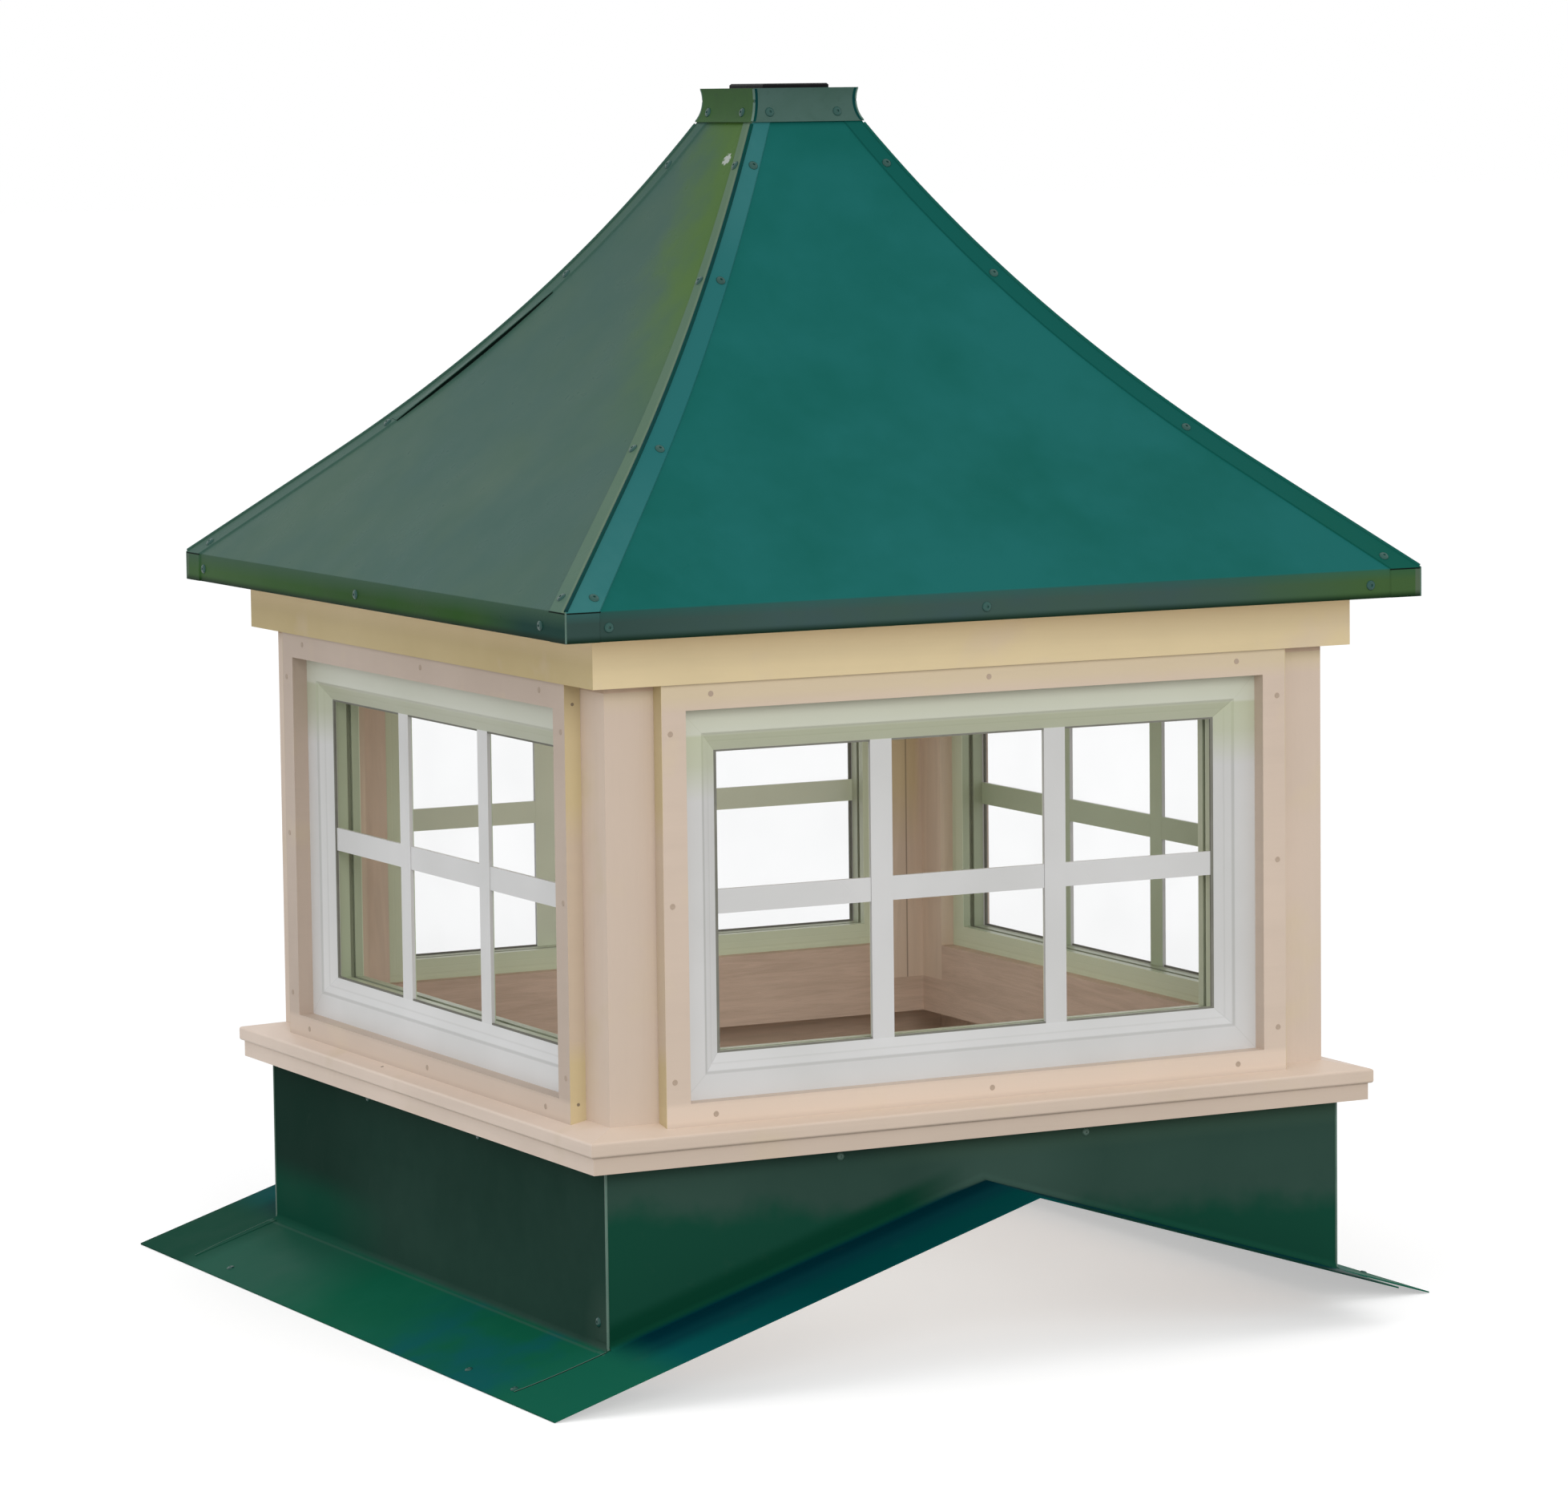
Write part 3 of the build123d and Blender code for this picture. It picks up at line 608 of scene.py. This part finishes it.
# Small metal parts: the ridge's dark green is painted shade, the side tones are painted light, the pale green
# is a painted highlight on folds and screw heads, and the near black is painted shade in the gaps between
# sheets
ridge_painted_shade = trim_paint("ridge_painted_shade", (0.000, 0.050, 0.040), (0.002, 0.038, 0.040), 0.35, 0.04)
far_ridge = trim_paint("far_ridge", (0.004, 0.090, 0.072), (0.010, 0.096, 0.076), 0.35, 0.04,
                       (0.040, 0.098, 0.074))
collar_green = trim_paint("collar_green", (0.056, 0.112, 0.092), (0.066, 0.124, 0.108), 0.34, 0.02,
                          (0.044, 0.106, 0.036))
highlight_green = trim_paint("highlight_green", (0.110, 0.190, 0.150), (0.080, 0.150, 0.120), 0.30, 0.3)
gap_shade = trim_paint("gap_shade", (0.003, 0.008, 0.006), (0.006, 0.012, 0.010), 0.60, 0.02)
screw_green = trim_paint("screw_green", (0.012, 0.066, 0.056), (0.020, 0.084, 0.070), 0.25, 0.35)
gasket = trim_paint("gasket", (0.180, 0.180, 0.155), (0.220, 0.220, 0.190), 0.60, 0.05)

# Wood, vinyl, glass and the black plate
casing_cream = casing_paint()
sill_cream = sill_paint()
frieze_cream = frieze_paint()
post_cream = post_paint()
inside_wood = bare_wood("inside_wood", (0.66, 0.505, 0.400), (0.56, 0.425, 0.330), (0.5, 0.5, 6.0))
plywood = bare_wood("plywood", (0.71, 0.535, 0.415), (0.58, 0.440, 0.330), (0.4, 6.0, 6.0))
nail_dark = Board("nail_dark", (0.24, 0.19, 0.13), (0.20, 0.16, 0.10), UPRIGHT).brushed()
putty = Board("putty", (0.46, 0.36, 0.28), (0.40, 0.31, 0.24), UPRIGHT).brushed()
vinyl = white_vinyl()
glass = clear_glass()
black = black_metal()

# Paint of each node, by the longest start of its name
FINISHES = {
    "base_panel": base_green, "base_box": plywood, "sill_plate": inside_wood,
    "head_plate": inside_wood, "frieze": frieze_cream, "corner_post": post_cream,
    "sill": sill_cream, "casing": casing_cream, "window_frame": vinyl,
    "window_grid": vinyl, "window_glass": glass, "roof_panel": roof_green,
    "roof_panel_left": left_green_painted_sheen, "hip_cap": far_cap_painted_light, "hip_cap_front_left": near_cap_painted_light,
    "ceiling_board": plywood, "roof_collar": collar_green, "finial_plate": black,
}
for name, node in nodes.items():
    kind = max((k for k in FINISHES if name.startswith(k)), key=len)
    for slot in node.material_slots:
        slot.material = FINISHES[kind]


# Faces of one or more nodes, to seat small pieces on
def surface(*names):
    vertices = []
    polygons = []
    for name in names:
        mesh = nodes[name].data
        start = len(vertices)
        vertices.extend(v.co.copy() for v in mesh.vertices)
        polygons.extend([start + i for i in p.vertices] for p in mesh.polygons)
    return BVHTree.FromPolygons(vertices, polygons)


# Where a straight look meets a surface, and the way that the surface faces
def seat(tree, start, direction):
    place, normal, _, _ = tree.ray_cast(start, direction)
    if normal.dot(direction) > 0:
        normal = -normal
    return place, normal


# Placing that stands a piece on a surface, turned about its own axis
def upright_on(place, normal, twist):
    turn = normal.to_track_quat("Z", "Y").to_matrix().to_4x4()
    return Matrix.Translation(place) @ turn @ Matrix.Rotation(twist, 4, "Z")


# Round piece turned from a profile of radii and heights
def turned(bm, profile, placed, count=20):
    rings = []
    for radius, height in profile:
        steps = count if radius else 1
        angles = [2 * math.pi * i / count for i in range(steps)]
        rings.append([bm.verts.new(placed @ Vector((radius * math.cos(a), radius * math.sin(a), height)))
                      for a in angles])
    for lower, upper in zip(rings, rings[1:]):
        for i in range(count):
            j = (i + 1) % count
            corners = [lower[i], lower[j], upper[j % len(upper)], upper[i % len(upper)]]
            unique = list(dict.fromkeys(corners))
            bm.faces.new(unique)


def piece(name, bm, material, smooth=True):
    mesh = bpy.data.meshes.new(name)
    bmesh.ops.recalc_face_normals(bm, faces=bm.faces)
    bm.to_mesh(mesh)
    bm.free()
    mesh.polygons.foreach_set("use_smooth", [smooth] * len(mesh.polygons))
    if smooth:
        mesh.set_sharp_from_angle(angle=math.radians(40))
    item = bpy.data.objects.new(name, mesh)
    bpy.context.scene.collection.objects.link(item)
    mesh.materials.append(material)
    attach(item, "root")


# Truss-head screw with a recess, and a nail hole stopped with putty
SCREW = [(0.0055, -0.0004), (0.0055, 0.0005), (0.0048, 0.0014), (0.0034, 0.0021), (0.0019, 0.0024),
         (0.0015, 0.0022), (0.0012, 0.0010), (0.0, 0.0009)]
STOPPING = [(0.0033, -0.0003), (0.0030, 0.00035), (0.0022, 0.00045), (0.0012, 0.00015), (0.0, 0.0001)]
ABOVE = 2.0
SMALL_SCREW = 0.8
SMALL_NAIL = 0.6
rng = random.Random(7)


# Screws or nails at many places as one mesh, each turned at random
def heads(name, profile, places, material, scale=1.0):
    bm = bmesh.new()
    sized = [(radius * scale, height * scale) for radius, height in profile]
    for place, normal in places:
        turned(bm, sized, upright_on(place, normal, rng.uniform(0, math.pi)))
    piece(name, bm, material)


# Places on one side of the object, straight in from stations along it and up it
def looked_at(turn, names, stations):
    tree = surface(*names)
    return [seat(tree, outward(turn) + along(turn) * a + Vector((0.0, 0.0, z)), -outward(turn))
            for a, z in stations]


# Places straight below spots in plan
def dropped_on(tree, spots):
    return [seat(tree, Vector((x, y, ABOVE)), DOWN) for x, y in spots]


# Width of a hip cap's strip, which narrows from the eave to the collar
def cap_width(out):
    share = (out - COLLAR_FOOT) / (EAVE_HALF - COLLAR_FOOT)
    return CAP_TOP_W + (CAP_EAVE_W - CAP_TOP_W) * share


# Screws down both strips of each hip cap
for corner, (sx, sy) in CORNERS.items():
    tree = surface("hip_cap_" + corner)
    spots = []
    for out in HIP_SCREW_OUT:
        inset = cap_width(out) * HIP_SCREW_IN
        spots += [(sx * out, sy * (out - inset)), (sx * (out - inset), sy * out)]
    heads("hip_screws_" + corner, SCREW, dropped_on(tree, spots), screw_green)

# Screws and stopped nail holes that every side has
stiles = [(sign * STILE_NAIL_ALONG, z) for sign in (-1, 1) for z in STILE_NAIL_Z]
rails = [(a, z) for a in RAIL_NAIL_ALONG for z in (FOOT_NAIL_Z, HEAD_NAIL_Z)]
roof_names = [name for name in nodes if name.startswith(("hip_cap", "roof_panel"))]
for side, turn in TURNS.items():
    nails = looked_at(turn, ["casing_" + side], stiles + rails)
    heads("casing_nails_" + side, STOPPING, nails, putty)
    screws = looked_at(turn, ["roof_collar"], [(a, COLLAR_SCREW_Z) for a in COLLAR_SCREW_ALONG])
    heads("collar_screws_" + side, SCREW, screws, screw_green)
    screws = looked_at(turn, ["base_panel_" + side], [(a, BASE_NAIL_Z) for a in BASE_NAIL_ALONG])
    # Pale green on the front and back screws: a painted highlight on their heads
    green = highlight_green if side in ("front", "back") else screw_green
    heads("base_nails_" + side, SCREW, screws, green, SMALL_SCREW)
    screws = looked_at(turn, roof_names, [(a, FASCIA_SCREW_Z) for a in FASCIA_SCREW_ALONG])
    heads("fascia_screws_" + side, SCREW, screws, screw_green)

# Nails in the end face of the left casing and in the left sill
nails = looked_at(TURNS["front"], ["casing_left"], END_NAILS)
heads("end_nails_left", STOPPING, nails, nail_dark, SMALL_NAIL)
nails = dropped_on(surface("sill_left"), [SILL_NAIL])
heads("sill_nail_left", STOPPING, nails, nail_dark, SMALL_NAIL)

for side, sign in (("left", -1), ("right", 1)):
    spots = [(sign * FLANGE_SCREW_OUT, sign * -a) for a in FLANGE_SCREW_ALONG]
    screws = dropped_on(surface("base_panel_" + side), spots)
    heads("flange_screws_" + side, SCREW, screws, screw_green, SMALL_SCREW)


# Round bar along a path, closed at both ends
def rod(bm, path, radius, count=10):
    rings = []
    for i, place in enumerate(path):
        before = path[max(i - 1, 0)]
        after = path[min(i + 1, len(path) - 1)]
        turn = (after - before).to_track_quat("Z", "Y").to_matrix().to_4x4()
        placed = Matrix.Translation(place) @ turn
        rings.append([bm.verts.new(placed @ Vector((radius * math.cos(a), radius * math.sin(a), 0.0)))
                      for a in (2 * math.pi * k / count for k in range(count))])
    for lower, upper in zip(rings, rings[1:]):
        for i in range(count):
            j = (i + 1) % count
            bm.faces.new((lower[i], lower[j], upper[j], upper[i]))
    bm.faces.new(rings[0])
    bm.faces.new(rings[-1])


# Closed strip between two lines of points, with a thickness along each point's normal
def ribbon(bm, first, second, thick, sink=0.0003):
    rows = []
    for (a, na), (b, nb) in zip(first, second):
        rows.append([bm.verts.new(a - na * sink), bm.verts.new(b - nb * sink),
                     bm.verts.new(b + nb * thick), bm.verts.new(a + na * thick)])
    for lower, upper in zip(rows, rows[1:]):
        for i in range(4):
            j = (i + 1) % 4
            bm.faces.new((lower[i], lower[j], upper[j], upper[i]))
    bm.faces.new(rows[0])
    bm.faces.new(rows[-1])


# Dark glazing gasket along a window bead's inner edge, narrower above and below than at the sides; its dark
# grey is partly the gasket's own and partly painted shade along that edge
GASKET_W = 0.0034
GASKET_T = 0.0022
GASKET_OUT = 0.4338
GASKET_UNDER = 0.0002
LEVEL_SHARE = 0.6


def glazing_gasket(side, turn):
    half = OPENING_HALF - BEAD_END
    low = OPENING_LOW + BEAD_END
    high = OPENING_HIGH - BEAD_END
    bm = bmesh.new()
    loops = []
    for inset in (-GASKET_UNDER, GASKET_W):
        for depth in (GASKET_OUT, GASKET_OUT - GASKET_T):
            wide = half - inset
            level = inset * LEVEL_SHARE
            spots = [(-wide, low + level), (wide, low + level), (wide, high - level), (-wide, high - level)]
            loops.append([bm.verts.new(outward(turn) * depth + along(turn) * a + Vector((0.0, 0.0, z)))
                          for a, z in spots])
    outer_front, outer_back, inner_front, inner_back = loops
    for first, second in ((outer_front, inner_front), (inner_front, inner_back), (inner_back, outer_back),
                          (outer_back, outer_front)):
        for i in range(4):
            j = (i + 1) % 4
            bm.faces.new((first[i], first[j], second[j], second[i]))
    piece("glazing_gasket_" + side, bm, gasket, False)


for side, turn in TURNS.items():
    glazing_gasket(side, turn)

RIDGE_R = 0.0022
RIDGE_STEPS = 40
FOLD_R = 0.0010


# Line down the top of a hip, just beside its ridge
def hip_line(corner, sx, sy):
    aside = 0.0006
    length = CAP_HALF - 0.0008 - COLLAR_FOOT
    outs = [COLLAR_FOOT - 0.0005 + length * i / RIDGE_STEPS for i in range(RIDGE_STEPS + 1)]
    spots = [(sx * out, sy * (out - aside)) for out in outs]
    return [place for place, _ in dropped_on(surface("hip_cap_" + corner), spots)]


# Rounded ridge along each hip, dark on the near hip as painted shade, and the fascia's corner fold below it,
# pale as a painted highlight
for corner, (sx, sy) in CORNERS.items():
    bm = bmesh.new()
    rod(bm, hip_line(corner, sx, sy), RIDGE_R)
    green = ridge_painted_shade if corner == "front_left" else far_ridge
    piece("hip_ridge_" + corner, bm, green)
    bm = bmesh.new()
    place = CAP_HALF - 0.0006
    rod(bm, [Vector((sx * place, sy * place, z)) for z in (EAVE_LOW + 0.0004, EAVE_TOP + 0.0005)], FOLD_R)
    piece("fascia_fold_" + corner, bm, highlight_green)


# Slit where each strip of a hip cap is cut across at the eave, before its corner is folded down, drawn as a
# thin dark strip of painted shade
def eave_slit(bm, turn, sign):
    height = 0.0014
    rows = []
    for a in (EAVE_HALF - CAP_EAVE_W, EAVE_HALF):
        low = outward(turn) * CAP_HALF + along(turn) * sign * a + Vector((0.0, 0.0, EAVE_TOP - 0.0012))
        rows.append(((low, outward(turn)), (low + Vector((0.0, 0.0, height)), outward(turn))))
    ribbon(bm, [row[0] for row in rows], [row[1] for row in rows], 0.00012)


for side, turn in TURNS.items():
    bm = bmesh.new()
    for sign in (-1, 1):
        eave_slit(bm, turn, sign)
    piece("eave_slits_" + side, bm, gap_shade, False)


# Edge of the back left cap that has lifted off the roof, with a dark strip of painted shade in the gap under
# it
LIFT_FROM = 0.205
LIFT_TO = 0.345
LIFT_MOST = 0.0026
LIFT_LEAST = 0.0010
LIFT_STEPS = 20
LIP_W = 0.0140
LIP_T = 0.0009


def lifted_edge():
    tree = surface("roof_panel_left", "hip_cap_back_left")
    foot = []
    under = []
    top_in = []
    top_out = []
    for i in range(LIFT_STEPS + 1):
        share = i / LIFT_STEPS
        out = LIFT_FROM + (LIFT_TO - LIFT_FROM) * share
        edge = out - cap_width(out)
        lift = LIFT_LEAST + LIFT_MOST * math.sin(math.pi * share) ** 0.7
        (place, normal), (kept, facing) = dropped_on(tree, [(-out, edge - 0.0006), (-out, edge + LIP_W)])
        raised = place + normal * lift
        foot.append((place, outward(0)))
        under.append((raised, outward(0)))
        top_in.append((kept, facing))
        top_out.append((raised, facing))
    bm = bmesh.new()
    ribbon(bm, foot, under, 0.0002)
    piece("cap_gap_back_left", bm, gap_shade, False)
    bm = bmesh.new()
    ribbon(bm, top_in, top_out, LIP_T, 0.0)
    piece("cap_lip_back_left", bm, far_cap_painted_light, False)


lifted_edge()


# Folded corners of the collar, following its flare, pale as a painted highlight, each with a dark strip of
# painted shade beside it
COLLAR_STEPS = 12
COLLAR_END = 0.0006
COLLAR_FOLD_R = 0.0014
COLLAR_FOLD_IN = 0.0008


def collar_corner(corner, sx, sy):
    tree = surface("roof_collar")
    height = COLLAR_TOP - COLLAR_LOW - 2 * COLLAR_END
    path = []
    for i in range(COLLAR_STEPS + 1):
        z = COLLAR_LOW + COLLAR_END + height * i / COLLAR_STEPS
        place, _ = seat(tree, Vector((sx * 0.3, 0.0, z)), Vector((-sx, 0.0, 0.0)))
        reach = abs(place.x) - COLLAR_FOLD_IN
        path.append(Vector((sx * reach, sy * reach, z)))
    bm = bmesh.new()
    rod(bm, path, COLLAR_FOLD_R)
    piece("collar_fold_" + corner, bm, highlight_green)
    bm = bmesh.new()
    shade = [(place + Vector((-sx * 0.0008, sy * 0.0006, 0.0)), Vector((0.0, sy, 0.0))) for place in path]
    far = [(place + Vector((-sx * 0.0034, 0.0, 0.0)), normal) for place, normal in shade]
    ribbon(bm, shade, far, 0.0004)
    piece("collar_shade_strip_" + corner, bm, ridge_painted_shade, False)


for corner, (sx, sy) in CORNERS.items():
    collar_corner(corner, sx, sy)


# One sheet of the base folded round each corner onto the next wall, with a screw low on each tab, and a pale
# rod on the corner as a painted highlight on the fold
TAB_W = 0.026
TAB_T = 0.0007
TAB_LIFT_SIDE = 0.0085
TAB_LIFT_END = 0.0175
CORNER_R = 0.0016
CORNER_IN = 0.0006
UNDER_SILL = 0.0004


def base_tab(corner, sx, sy):
    on_side = sy < 0
    wall = Vector((sx, 0.0, 0.0)) if on_side else Vector((0.0, sy, 0.0))
    inward = Vector((0.0, -sy, 0.0)) if on_side else Vector((-sx, 0.0, 0.0))
    edge = Vector((sx * BASE_HALF, sy * BASE_HALF, 0.0))
    foot = WALL_FOOT + (TAB_LIFT_SIDE if on_side else TAB_LIFT_END)
    top = BASE_TOP - UNDER_SILL
    rows = []
    for z in (foot, top):
        rows.append([(edge + inward * inset + Vector((0.0, 0.0, z)), wall) for inset in (0.0008, TAB_W)])
    bm = bmesh.new()
    ribbon(bm, [row[0] for row in rows], [row[1] for row in rows], TAB_T)
    piece("base_tab_" + corner, bm, base_green, False)
    bm = bmesh.new()
    place = BASE_HALF - CORNER_IN
    rod(bm, [Vector((sx * place, sy * place, z)) for z in (WALL_FOOT - 0.0010, top)], CORNER_R, 16)
    piece("base_fold_" + corner, bm, highlight_green)
    screw = edge + inward * TAB_SCREW_IN + wall * TAB_T + Vector((0.0, 0.0, TAB_SCREW_Z))
    heads("tab_screw_" + corner, SCREW, [(screw, wall)], screw_green)


for corner, (sx, sy) in CORNERS.items():
    base_tab(corner, sx, sy)


# Side flange lapped over the end flange at each left corner, narrowing outwards, with a pale rod along its
# edge as a painted highlight and a dark rod beside it as painted shade
LAP_IN = 0.0035
LAP_OUT = 0.1080
LAP_W = 0.0120
LAP_START = 0.0090
LAP_STEPS = 6


def flange_lap(name, sy):
    tree = surface("base_panel_left", "base_panel_front", "base_panel_back")
    start = BASE_HALF - LAP_START
    near = []
    far = []
    for i in range(LAP_STEPS + 1):
        share = i / LAP_STEPS
        out = LAP_IN + (LAP_OUT - LAP_IN) * share
        width = LAP_W * (1.0 - 0.75 * share ** 3)
        near.append((-BASE_HALF - out, sy * start))
        far.append((-BASE_HALF - out, sy * (start + width)))
    near = dropped_on(tree, near)
    far = dropped_on(tree, far)
    bm = bmesh.new()
    ribbon(bm, near, far, 0.0006)
    piece("flange_lap_" + name, bm, base_green, False)
    bm = bmesh.new()
    rod(bm, [place + normal * 0.0004 for place, normal in far], 0.0004, 8)
    piece("lap_edge_" + name, bm, highlight_green)
    bm = bmesh.new()
    rod(bm, [place + Vector((0.0, sy * 0.0009, 0.0001)) for place, _ in far], 0.0005, 8)
    piece("lap_shade_" + name, bm, gap_shade)


flange_lap("front", -1)
flange_lap("back", 1)


# One wherever the camera sees a thing straight, mirrored or through glass
def seen_by_camera(tree):
    path = tree.nodes.new("ShaderNodeLightPath")
    seen = path.outputs["Is Camera Ray"]
    for kind in ("Is Glossy Ray", "Is Transmission Ray"):
        node = tree.nodes.new("ShaderNodeMath")
        node.operation = "MAXIMUM"
        tree.links.new(seen, node.inputs[0])
        tree.links.new(path.outputs[kind], node.inputs[1])
        seen = node.outputs[0]
    return seen


# Sends one shader out as light and shows the other to the camera
def split(tree, lit, shown, output):
    pick = tree.nodes.new("ShaderNodeMixShader")
    tree.links.new(seen_by_camera(tree), pick.inputs[0])
    tree.links.new(lit.outputs[0], pick.inputs[1])
    tree.links.new(shown.outputs[0], pick.inputs[2])
    tree.links.new(pick.outputs[0], tree.nodes[output].inputs["Surface"])


FLOOR_HALF = 60.0
FLOOR_DROP = 0.0005


def coloured(tree, kind, colour):
    node = tree.nodes.new(kind)
    node.inputs["Color"].default_value = (*colour, 1.0)
    return node


# White floor that takes a soft shadow
def stage_floor():
    material = bpy.data.materials.new("floor")
    material.use_nodes = True
    tree = material.node_tree
    tree.nodes.remove(tree.nodes["Principled BSDF"])
    lit = coloured(tree, "ShaderNodeBsdfDiffuse", (0.44, 0.43, 0.41))
    pale = coloured(tree, "ShaderNodeBsdfDiffuse", (0.72, 0.72, 0.72))
    glow = coloured(tree, "ShaderNodeEmission", (1.0, 1.0, 1.0))
    glow.inputs["Strength"].default_value = 0.46
    shown = tree.nodes.new("ShaderNodeAddShader")
    tree.links.new(pale.outputs[0], shown.inputs[0])
    tree.links.new(glow.outputs[0], shown.inputs[1])
    split(tree, lit, shown, "Material Output")
    bm = bmesh.new()
    bmesh.ops.create_grid(bm, x_segments=2, y_segments=2, size=FLOOR_HALF)
    mesh = bpy.data.meshes.new("floor")
    bm.to_mesh(mesh)
    bm.free()
    floor = bpy.data.objects.new("floor", mesh)
    bpy.context.scene.collection.objects.link(floor)
    floor.location.z = -FLOOR_DROP
    mesh.materials.append(material)


# White background that lights the object a little less than it shows
def sky():
    world = bpy.data.worlds.new("sky")
    bpy.context.scene.world = world
    world.use_nodes = True
    tree = world.node_tree
    lit = tree.nodes["Background"]
    lit.inputs["Color"].default_value = (0.98, 0.99, 1.0, 1.0)
    lit.inputs["Strength"].default_value = 0.80
    white = coloured(tree, "ShaderNodeBackground", (1.0, 1.0, 1.0))
    split(tree, lit, white, "World Output")


def lamp(name, kind, place, power, colour):
    data = bpy.data.lights.new(name, kind)
    data.energy = power
    data.color = colour
    item = bpy.data.objects.new(name, data)
    bpy.context.scene.collection.objects.link(item)
    item.location = place
    item.visible_camera = False
    item.visible_glossy = False
    return item


def soft_light(name, place, aim, size, power, colour):
    item = lamp(name, "AREA", place, power, colour)
    item.data.shape = "DISK"
    item.data.size = size
    item.rotation_euler = (Vector(aim) - Vector(place)).to_track_quat("-Z", "Y").to_euler()


stage_floor()
sky()
MIDDLE = (0.0, 0.0, 0.65)
soft_light("key", (-0.8, -6.5, 3.0), MIDDLE, 4.0, 175.0, (1.0, 0.98, 0.96))
soft_light("fill", (-6.0, -0.5, 2.4), MIDDLE, 3.5, 40.0, (0.99, 0.99, 1.0))
inside = lamp("inside", "POINT", (0.0, 0.0, 0.60), 1.4, (1.0, 1.0, 1.0))
inside.data.shadow_soft_size = 0.12

# Camera as solved from the photograph
IMAGE_WIDTH = 1957
FOCAL_PX = 7847.0
CAMERA_AT = Vector((-3.2933, -6.4133, 1.3858))
CAMERA_YAW = math.radians(-27.157)
CAMERA_PITCH = math.radians(-6.089)
CAMERA_ROLL = math.radians(-0.68)


def camera():
    level = Vector((math.cos(CAMERA_YAW), math.sin(CAMERA_YAW), 0.0))
    ahead = Vector((-level.y, level.x, 0.0))
    look = ahead * math.cos(CAMERA_PITCH) + Vector((0.0, 0.0, math.sin(CAMERA_PITCH)))
    up = level.cross(look)
    right = level * math.cos(CAMERA_ROLL) + up * math.sin(CAMERA_ROLL)
    top = up * math.cos(CAMERA_ROLL) - level * math.sin(CAMERA_ROLL)
    data = bpy.data.cameras.new("camera")
    data.sensor_width = 36.0
    data.sensor_fit = "HORIZONTAL"
    data.lens = data.sensor_width * FOCAL_PX / IMAGE_WIDTH
    data.clip_end = 200.0
    item = bpy.data.objects.new("camera", data)
    bpy.context.scene.collection.objects.link(item)
    turn = Matrix((right, top, -look)).transposed()
    item.matrix_world = Matrix.Translation(CAMERA_AT) @ turn.to_4x4()
    bpy.context.scene.camera = item


camera()
bpy.context.scene.view_settings.view_transform = "Standard"
